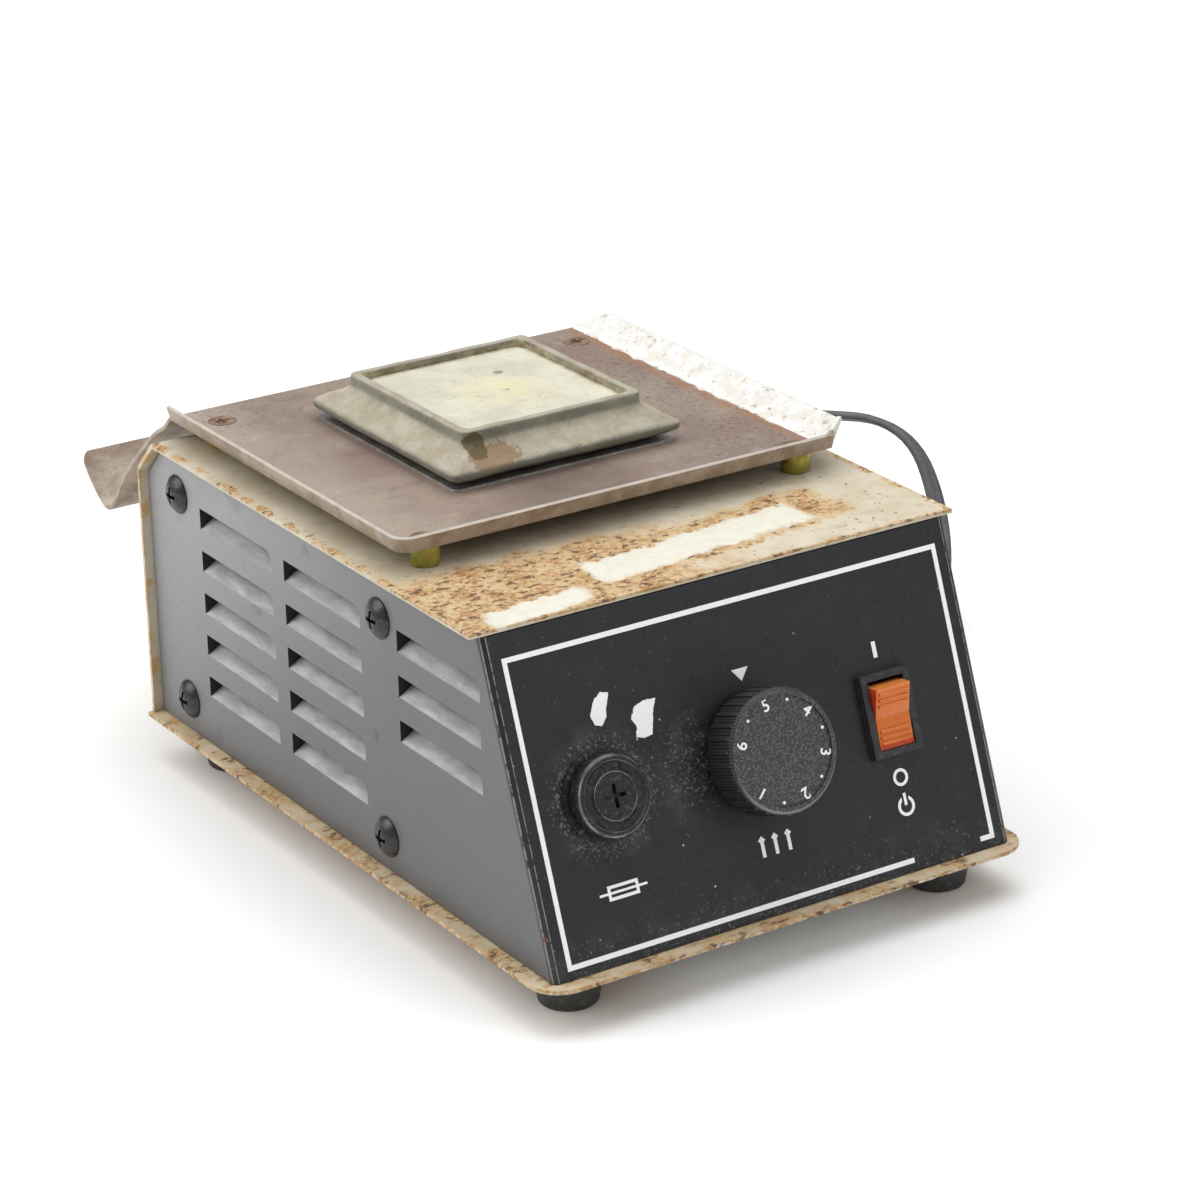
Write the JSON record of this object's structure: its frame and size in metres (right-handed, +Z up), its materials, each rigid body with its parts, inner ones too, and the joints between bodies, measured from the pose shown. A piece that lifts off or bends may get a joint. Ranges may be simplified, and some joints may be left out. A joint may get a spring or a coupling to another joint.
{
  "type": "soldering pot",
  "caption": "Benchtop solder pot: slanted louvred control box with heat dial, rocker switch, fuse cap, heated square bath in a drip tray with rear dross trough, and mains cord.",
  "frame": {"origin": "middle of the footprint of the box with its feet and rear trough, on the surface it stands on", "axes": "+X to the right seen from the front, +Y from the front panel to the back, +Z up"},
  "size_m": [0.2621, 0.2821, 0.117],
  "materials": {
    "cream_paint": "satin, rust-spotted cream paint",
    "black_paint": "satin black paint",
    "white_print": "white screen print",
    "zinc_rails": "zinc plated",
    "black_screws": "black oxide",
    "foot_rubber": "matt",
    "zinc_hardware": "zinc plated",
    "label_foil": "printed foil",
    "rusty_steel": "tarnished, rust-spotted steel",
    "yellow_zinc": "yellow passivated",
    "rusty_screws": "rusted",
    "cast_pot": "oxidised grey-green",
    "solder_metal": "dull tin-lead skin",
    "bright_steel": "bright",
    "mica": "matt",
    "insulation_board": "matt fibre board",
    "dial_metal": "plated",
    "knob_plastic": "fine-grained black",
    "fuse_plastic": "phenolic black",
    "contact_metal": "plated brass",
    "fuse_tube": "clear",
    "fuse_ferrule": "nickel",
    "switch_plastic": "black",
    "amber_plastic": "translucent amber",
    "lamp_glass": "clear",
    "board_laminate": "glass fibre laminate",
    "white_nylon": "natural nylon",
    "sink_aluminium": "plain",
    "component_black": "epoxy",
    "component_blue": "wrapped film",
    "copper_coil": "enamelled wire",
    "sleeve_fibre": "braided glass sleeve",
    "wire_brown": "PVC",
    "wire_yellow": "PVC",
    "cord_pvc": "soft PVC",
    "plug_pvc": "moulded PVC"
  },
  "bodies": {
    "station": {"chassis": "cream_paint", "shell": "black_paint", "panel_print": "white_print", "rail_top_left": "zinc_rails", "rail_top_right": "zinc_rails", "rail_bottom_left": "zinc_rails", "rail_bottom_right": "zinc_rails", "side_screws": "black_screws", "feet": "foot_rubber", "foot_screws": "zinc_hardware", "foot_nuts": "zinc_hardware", "under_label": "label_foil", "tray": "rusty_steel", "tray_spacers": "yellow_zinc", "tray_screws": "rusty_screws", "tray_nuts": "yellow_zinc", "pot": "cast_pot", "solder": "solder_metal", "pot_seat": "bright_steel", "heater": "mica", "heater_backing": "zinc_rails", "insulation": "insulation_board", "pot_bracket": "zinc_rails", "pot_studs": "zinc_hardware", "pot_nuts": "zinc_hardware", "dial_body": "dial_metal", "dial_nut": "zinc_hardware", "fuse_holder": "fuse_plastic", "fuse_nut": "fuse_plastic", "switch_body": "switch_plastic", "switch_blades": "contact_metal", "board": "board_laminate", "board_posts": "white_nylon", "board_screws": "zinc_hardware", "heat_sink": "sink_aluminium", "triac": "component_black", "capacitor": "component_blue", "choke": "copper_coil", "terminal_block": "white_nylon", "terminal_screws": "contact_metal", "heater_leads": "sleeve_fibre", "mains_leads": "wire_brown", "signal_leads": "wire_yellow", "cord_bushing": "plug_pvc", "cord": "cord_pvc", "cord_coil": "cord_pvc", "plug": "plug_pvc", "plug_blades": "contact_metal"},
    "dial": {"dial_shaft": "dial_metal", "knob": "knob_plastic", "knob_screw": "dial_metal"},
    "rocker_button": {"rocker": "amber_plastic", "switch_lamp": "lamp_glass"},
    "fuse_carrier": {"fuse_clip": "contact_metal", "fuse_glass": "fuse_tube", "fuse_ends": "fuse_ferrule"},
    "fuse_cap_turn": {"fuse_cap": "fuse_plastic"}
  },
  "joints": [
    {"name": "dial_turn", "type": "hinge", "parent": "station", "child": "dial", "pos_m": [0, -0.11261, 0.05252], "axis": [0, -0.9379, 0.3469], "range_deg": [-74, 226]},
    {"name": "rocker_press", "type": "hinge", "parent": "station", "child": "rocker_button", "pos_m": [0.041, -0.11167, 0.05217], "axis": [-1, 0, 0], "range_deg": [0, 24]},
    {"name": "fuse_slide", "type": "slide", "parent": "station", "child": "fuse_carrier", "axis": [0, -0.9379, 0.3469], "range_m": [0, 0.045]},
    {"name": "fuse_cap_twist", "type": "hinge", "parent": "fuse_carrier", "child": "fuse_cap_turn", "pos_m": [-0.046, -0.11261, 0.05252], "axis": [0, -0.9379, 0.3469], "range_deg": [0, 45]}
  ]
}
